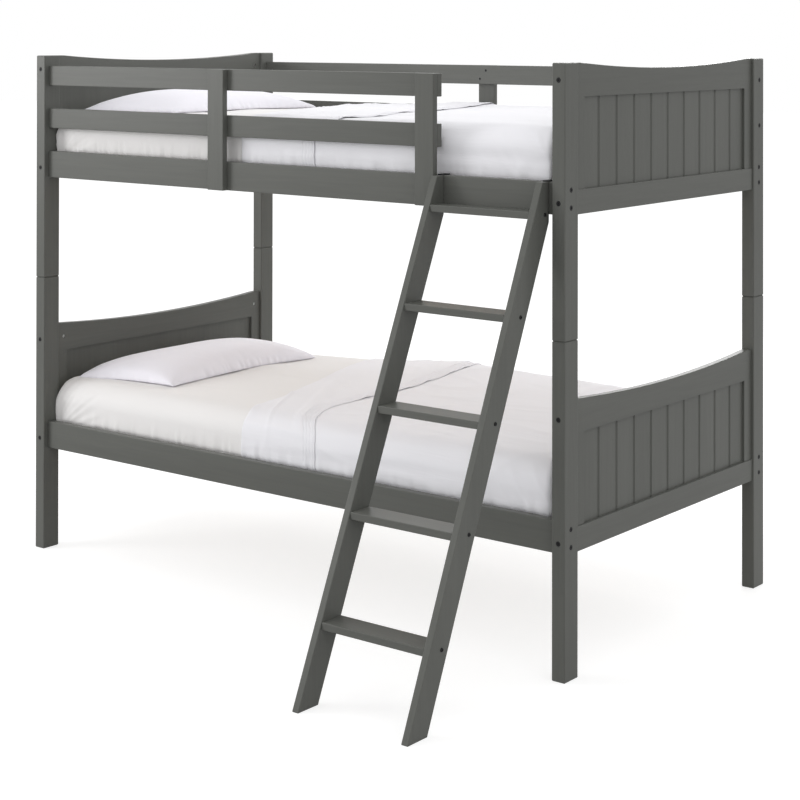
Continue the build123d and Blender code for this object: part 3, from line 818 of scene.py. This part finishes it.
def buildFastenerTree():
    # each point carries its aim, out of the head, and the length of its shank
    tree, given, out = newGeometryTree("fastenerField", [
        ("Head", "Object", None), ("Shank Radius", "Float", 0.003), ("Sides", "Int", 12),
        ("Material", "Material", None)])
    aim = tree.add("GeometryNodeInputNamedAttribute", {"Name": "aim"}, data_type="FLOAT_VECTOR")
    length = tree.add("GeometryNodeInputNamedAttribute", {"Name": "shank"}, data_type="FLOAT")
    turn = tree.add("FunctionNodeAlignRotationToVector", {"Vector": aim.outputs[0]}, axis="Z")
    head = tree.add("GeometryNodeObjectInfo", {"Object": given.outputs["Head"]})
    heads = tree.add("GeometryNodeInstanceOnPoints", {
        "Points": given.outputs["Geometry"], "Instance": head.outputs["Geometry"],
        "Rotation": turn.outputs[0]})
    rod = tree.add("GeometryNodeMeshCylinder", {
        "Vertices": given.outputs["Sides"], "Radius": given.outputs["Shank Radius"], "Depth": 1.0})
    down = tree.add("GeometryNodeTransform", {"Geometry": rod.outputs["Mesh"],
                                              "Translation": (0.0, 0.0, -0.5)})
    stretch = tree.add("ShaderNodeCombineXYZ", {"X": 1.0, "Y": 1.0, "Z": length.outputs[0]})
    shanks = tree.add("GeometryNodeInstanceOnPoints", {
        "Points": given.outputs["Geometry"], "Instance": down.outputs[0],
        "Rotation": turn.outputs[0], "Scale": stretch.outputs[0]})
    join = tree.add("GeometryNodeJoinGeometry")
    tree.tree.links.new(shanks.outputs[0], join.inputs[0])
    tree.tree.links.new(heads.outputs[0], join.inputs[0])
    finishTree(tree, given, out, join.outputs[0])
    return tree.tree


def buildSlatTree():
    tree, given, out = newGeometryTree("slatRow", [
        ("Board", "Object", None), ("Count", "Int", 13), ("Start", "Vector", None),
        ("Step", "Vector", None), ("Material", "Material", None)])
    line = tree.add("GeometryNodeMeshLine", {"Count": given.outputs["Count"],
                                             "Start Location": given.outputs["Start"],
                                             "Offset": given.outputs["Step"]})
    board = tree.add("GeometryNodeObjectInfo", {"Object": given.outputs["Board"]})
    boards = tree.add("GeometryNodeInstanceOnPoints", {"Points": line.outputs[0],
                                                       "Instance": board.outputs["Geometry"]})
    finishTree(tree, given, out, boards.outputs[0])
    return tree.tree


def buildStitchTree():
    tree, given, out = newGeometryTree("stitchRow", [
        ("Stitch", "Object", None), ("Spacing", "Float", 0.0035), ("Material", "Material", None)])
    curve = tree.add("GeometryNodeMeshToCurve", {"Mesh": given.outputs["Geometry"]})
    beads = tree.add("GeometryNodeCurveToPoints", {
        "Curve": curve.outputs[0], "Length": given.outputs["Spacing"]}, mode="LENGTH")
    turn = tree.add("FunctionNodeAlignRotationToVector", {"Vector": beads.outputs["Tangent"]},
                    axis="Z")
    stitch = tree.add("GeometryNodeObjectInfo", {"Object": given.outputs["Stitch"]})
    stitches = tree.add("GeometryNodeInstanceOnPoints", {
        "Points": beads.outputs["Points"], "Instance": stitch.outputs["Geometry"],
        "Rotation": turn.outputs[0]})
    finishTree(tree, given, out, stitches.outputs[0])
    return tree.tree


# bolts, nuts and screws

boltHead = {"radius": 0.0065, "height": 0.0032, "chamfer": 0.0007, "socket": 0.0026,
            "socketDepth": 0.0020, "shank": 0.003, "ladderRadius": 0.0050}
nutForm = {"radius": 0.005, "height": 0.004, "chamfer": 0.0004, "shank": 0.003,
           "slot": (0.0041, 0.0007), "slotDepth": 0.0012}
screwHead = {"radius": 0.004, "height": 0.0025, "arm": 0.0022, "armWidth": 0.00055,
             "depth": 0.0012, "shank": 0.002}
turning = {"sides": 24}


def outlineReach(kind, size, angle):
    # distance from the middle to a round, six-sided, slot or cross outline
    c, s = abs(math.cos(angle)), abs(math.sin(angle))
    if kind == "round":
        return size
    if kind == "hex":
        turn = (angle + math.pi / 6) % (math.pi / 3) - math.pi / 6
        return size * math.cos(math.pi / 6) / math.cos(turn)
    long, wide = size
    c, s = max(c, 1e-9), max(s, 1e-9)
    slot = min(long / c, wide / s)
    return slot if kind == "slot" else max(slot, min(wide / c, long / s))


def turnedPiece(name, rings, material, sides=turning["sides"]):
    # a closed shape through a row of outlines, each at its own height
    points, faces = [], []
    for kind, size, z in rings:
        for k in range(sides):
            angle = 2 * math.pi * k / sides
            reach = outlineReach(kind, size, angle)
            points.append((reach * math.cos(angle), reach * math.sin(angle), z))
    for i in range(len(rings) - 1):
        for k in range(sides):
            a, b = i * sides + k, i * sides + (k + 1) % sides
            faces.append((a, b, b + sides, a + sides))
    faces.append(tuple(range(sides))[::-1])
    last = (len(rings) - 1) * sides
    faces.append(tuple(last + k for k in range(sides)))
    return makePiece(name, points, faces, material, smooth=False)


def boltTemplate(name, radius):
    top = boltHead["height"]
    rings = [("round", radius, 0.0), ("round", radius, top - boltHead["chamfer"]),
             ("round", radius - boltHead["chamfer"], top), ("hex", boltHead["socket"], top),
             ("hex", boltHead["socket"], top - boltHead["socketDepth"])]
    return turnedPiece(name, rings, blackSteel)


def nutTemplate(name):
    # one end of a nut; its length is given by the shank that it stands on
    r, chamfer = nutForm["radius"], nutForm["chamfer"]
    rings = [("round", r, -nutForm["height"]), ("round", r, -chamfer), ("round", r - chamfer, 0.0),
             ("slot", nutForm["slot"], 0.0), ("slot", nutForm["slot"], -nutForm["slotDepth"])]
    return turnedPiece(name, rings, zincSteel)


def screwTemplate(name):
    r, arms = screwHead["radius"], (screwHead["arm"], screwHead["armWidth"])
    rings = [("round", screwHead["shank"], -screwHead["height"]), ("round", r, 0.0),
             ("cross", arms, 0.0), ("cross", arms, -screwHead["depth"])]
    return turnedPiece(name, rings, blackSteel)


def solidsOf(name):
    # lowest and highest corners of each separate solid in a node
    shape = bmesh.new()
    shape.from_mesh(nodes[name].data)
    bmesh.ops.remove_doubles(shape, verts=shape.verts, dist=1e-6)
    left, boxes = set(shape.verts), []
    while left:
        stack, group = [left.pop()], []
        while stack:
            vert = stack.pop()
            group.append(vert.co.copy())
            for edge in vert.link_edges:
                other = edge.other_vert(vert)
                if other in left:
                    left.remove(other)
                    stack.append(other)
        group = np.array(group)
        boxes.append((group.min(axis=0), group.max(axis=0)))
    shape.free()
    return sorted(boxes, key=lambda pair: tuple(np.round(pair[0], 4)))


def fastenerPoints(name, middle, headHeight, bothEnds=False):
    # seat, aim and shank length of each fastener, heads outward from the middle
    places = []
    for low, high in solidsOf(name):
        axis = int(np.argmax(high - low))
        center = (low + high) / 2
        ways = (-1, 1) if bothEnds else (1 if center[axis] > middle[axis] else -1,)
        for way in ways:
            seat = center.copy()
            seat[axis] = (high if way > 0 else low)[axis] - way * headHeight
            aim = np.zeros(3)
            aim[axis] = way
            taken = 2 * nutForm["height"] if bothEnds else headHeight
            places.append((seat, aim, high[axis] - low[axis] - taken))
    return places


def placeFasteners(node, template, places, shank, material, slotName, body):
    mesh = bpy.data.meshes.new("seats")
    mesh.from_pydata([tuple(map(float, seat)) for seat, aim, length in places], [], [])
    aims = mesh.attributes.new("aim", "FLOAT_VECTOR", "POINT")
    aims.data.foreach_set("vector", np.array([aim for seat, aim, length in places]).ravel())
    lengths = mesh.attributes.new("shank", "FLOAT", "POINT")
    lengths.data.foreach_set("value", np.array([length for seat, aim, length in places]))
    carrier = addObject("seats", mesh)
    words = node.split("_")
    name = words[0] + "".join(word.capitalize() for word in words[1:])
    piece = grow(name, carrier, fastenerTree, {"Head": template, "Shank Radius": shank,
                                               "Material": material})
    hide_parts(node)
    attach(piece, body)


fastenerTree = buildFastenerTree()
slatTree = buildSlatTree()
stitchTree = buildStitchTree()


def buildFasteners():
    wide = boltTemplate("boltTemplate", boltHead["radius"])
    narrow = boltTemplate("ladderBoltTemplate", boltHead["ladderRadius"])
    nut = nutTemplate("nutTemplate")
    screw = screwTemplate("screwTemplate")
    front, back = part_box("lower_side_rail_front")[0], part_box("lower_side_rail_back")[1]
    bedMiddle = (np.array(front) + np.array(back)) / 2
    ladderMiddle = sum(cornersOf("ladder_tread_1")) / 2
    black = {"material": blackSteel, "slotName": "black_steel"}
    zinc = {"material": zincSteel, "slotName": "zinc_steel"}
    for bunk in ("lower", "upper"):
        node = f"{bunk}_frame_bolts"
        places = fastenerPoints(node, bedMiddle, boltHead["height"])
        placeFasteners(node, wide, places, boltHead["shank"], body=f"{bunk}_bed", **black)
        node = f"{bunk}_barrel_nuts"
        places = fastenerPoints(node, bedMiddle, 0.0, True)
        placeFasteners(node, nut, places, nutForm["shank"], body=f"{bunk}_bed", **zinc)
    places = fastenerPoints("ladder_bolts", ladderMiddle, boltHead["height"])
    placeFasteners("ladder_bolts", narrow, places, boltHead["shank"], body="ladder", **black)
    places = fastenerPoints("ladder_barrel_nuts", ladderMiddle, 0.0, True)
    placeFasteners("ladder_barrel_nuts", nut, places, nutForm["shank"], body="ladder", **zinc)
    # these screws go outward, so their heads face the middle of the bed
    places = innerScrews("guard_screws", bedMiddle)
    placeFasteners("guard_screws", screw, places, screwHead["shank"], body="upper_bed", **black)
    for template in (wide, narrow, nut, screw):
        bpy.data.objects.remove(template)


def innerScrews(name, middle):
    places = []
    for seat, aim, length in fastenerPoints(name, middle, 0.0):
        axis = int(np.argmax(np.abs(aim)))
        seat = seat.copy()
        seat[axis] -= aim[axis] * length
        places.append((seat, -aim, length))
    return places


# slats

slatForm = {"ease": 0.0025, "easeCuts": 3, "count": 13}


def buildSlats():
    for bunk in ("lower", "upper"):
        boards = solidsOf(f"{bunk}_slats")
        first, last = boards[0], boards[-1]
        size = first[1] - first[0]
        shape = bmesh.new()
        bmesh.ops.create_cube(shape, size=1.0)
        bmesh.ops.scale(shape, vec=Vector(size), verts=shape.verts)
        bmesh.ops.bevel(shape, geom=shape.edges, offset=slatForm["ease"],
                        segments=slatForm["easeCuts"], affect="EDGES", profile=0.5)
        mesh = bpy.data.meshes.new("slatTemplate")
        shape.to_mesh(mesh)
        shape.free()
        board = addObject("slatTemplate", mesh)
        carrier = addObject("slatLine", bpy.data.meshes.new("slatLine"))
        start = (first[0] + first[1]) / 2
        step = ((last[0] + last[1]) / 2 - start) / (slatForm["count"] - 1)
        piece = grow(f"{bunk}Slats", carrier, slatTree, {
            "Board": board, "Count": slatForm["count"], "Start": tuple(map(float, start)),
            "Step": tuple(map(float, step)), "Material": pineBy["y"]})
        bpy.data.objects.remove(board)
        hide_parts(f"{bunk}_slats")
        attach(piece, f"{bunk}_bed")


# stitches along the hem of each top sheet

stitchForm = {"length": 0.0030, "radius": 0.00042, "taper": (0.45, 0.6), "spacing": 0.0044,
              "sides": 6}


def stitchTemplate():
    half, radius = stitchForm["length"] / 2, stitchForm["radius"]
    tip, full = stitchForm["taper"]
    rings = [("round", radius * tip, -half), ("round", radius, -half * full),
             ("round", radius, half * full), ("round", radius * tip, half)]
    return turnedPiece("stitchTemplate", rings, clothBy["sheet"], stitchForm["sides"])


def buildStitches(bunk, rows):
    points, edges = [], []
    for row in rows:
        start = len(points)
        points += [tuple(map(float, p)) for p in row]
        edges += [(start + i, start + i + 1) for i in range(len(row) - 1)]
    mesh = bpy.data.meshes.new("hemLines")
    mesh.from_pydata(points, edges, [])
    carrier = addObject("hemLines", mesh)
    template = stitchTemplate()
    values = {"Stitch": template, "Spacing": stitchForm["spacing"], "Material": clothBy["sheet"]}
    piece = grow(f"{bunk}HemStitches", carrier, stitchTree, values, smooth=True)
    bpy.data.objects.remove(template)
    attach(piece, f"{bunk}_mattress")
    return piece


bedding = {}
for bunk in ("lower", "upper"):
    half, center = bedding[bunk] = buildMattress(bunk)
    topSheet, hemRows = buildSheet(bunk, half, center)
    stitches = buildStitches(bunk, hemRows)
    print(bunk, "mattress and top sheet made")
buildPillows(bedding)
print("pillows filled")
buildFasteners()
buildSlats()
print("fasteners and slats placed")


# camera, light and floor

view = {
    "place": (3.589, -4.22516, 1.65859),
    "turn": (90.3525, -0.082, 38.1332),
    "lens": 83.358,
    "sensor": 36.0,
    "shiftY": -0.47594,
}
light = {
    "ambient": 0.90,  # strength of the pale surroundings as a light
    "lamps": {
        "key": {"place": (-3.5, -3.0, 2.0), "aim": (0.0, 0.2, 0.9),
                "size": (1.6, 1.6), "watts": 62.0},
        "right": {"place": (4.8, -2.4, 1.9), "aim": (0.0, 0.0, 0.9),
                  "size": (1.8, 1.6), "watts": 12.0},
        "back": {"place": (-0.5, 4.1, 2.7), "aim": (0.0, 0.3, 0.7),
                 "size": (2.6, 1.6), "watts": 66.0},
        "above": {"place": (-0.2, 0.3, 3.6), "aim": (0.0, 0.3, 0.8),
                  "size": (2.4, 1.6), "watts": 5.0},
    },
}
floor = {
    "reach": 30.0,
    "color": (0.45, 0.45, 0.45, 1.0),
    "roughness": 0.9,
    "glow": 0.70,
    "gloss": 0.6,  # how much of that glow reflections see
}


def buildCamera():
    camera = addObject("camera", bpy.data.cameras.new("camera"))
    camera.location = view["place"]
    camera.rotation_euler = [math.radians(a) for a in view["turn"]]
    camera.data.lens = view["lens"]
    camera.data.sensor_width = view["sensor"]
    camera.data.shift_y = view["shiftY"]
    scene.camera = camera


def buildLamp(name, place, aim, size, watts):
    lamp = bpy.data.lights.new(name, "AREA")
    lamp.shape = "RECTANGLE"
    lamp.size, lamp.size_y = size
    lamp.energy = watts
    holder = addObject(name, lamp)
    holder.location = place
    holder.rotation_euler = (Vector(aim) - Vector(place)).to_track_quat("-Z", "Y").to_euler()


def whenSeen(tree, gloss=1.0):
    # 1 for what the camera and glass see, gloss for reflections, 0 for what lights the bed
    path = tree.add("ShaderNodeLightPath").outputs
    mirrored = tree.math("MULTIPLY", path["Is Glossy Ray"], gloss)
    return tree.math("MAXIMUM", path["Is Camera Ray"],
                     tree.math("MAXIMUM", mirrored, path["Is Transmission Ray"]))


def buildFloor():
    reach = floor["reach"]
    corners = [(-reach, -reach, 0), (reach, -reach, 0), (reach, reach, 0), (-reach, reach, 0)]
    material, tree, shader = newMaterial("paleFloor")
    shader.inputs["Base Color"].default_value = floor["color"]
    shader.inputs["Roughness"].default_value = floor["roughness"]
    shader.inputs["Specular IOR Level"].default_value = 0.0
    shader.inputs["Emission Color"].default_value = (1.0, 1.0, 1.0, 1.0)
    glow = tree.math("MULTIPLY", whenSeen(tree, floor["gloss"]), floor["glow"])
    tree.feed(shader.inputs["Emission Strength"], glow)
    makePiece("floor", corners, [(0, 1, 2, 3)], material, smooth=False)


def buildWorld():
    world = bpy.data.worlds.new("studio")
    world.use_nodes = True
    world.node_tree.nodes.clear()
    tree = Tree(world.node_tree)
    seen = tree.math("MULTIPLY", whenSeen(tree), 1.0 - light["ambient"])
    strength = tree.math("ADD", light["ambient"], seen)
    ground = tree.add("ShaderNodeBackground", {"Color": (1.0, 1.0, 1.0), "Strength": strength})
    tree.add("ShaderNodeOutputWorld", {"Surface": ground.outputs[0]})
    scene.world = world


buildCamera()
for name, values in light["lamps"].items():
    buildLamp(name, **values)
buildFloor()
buildWorld()
scene.view_settings.view_transform = "Standard"
print("camera, lamps and floor ready")
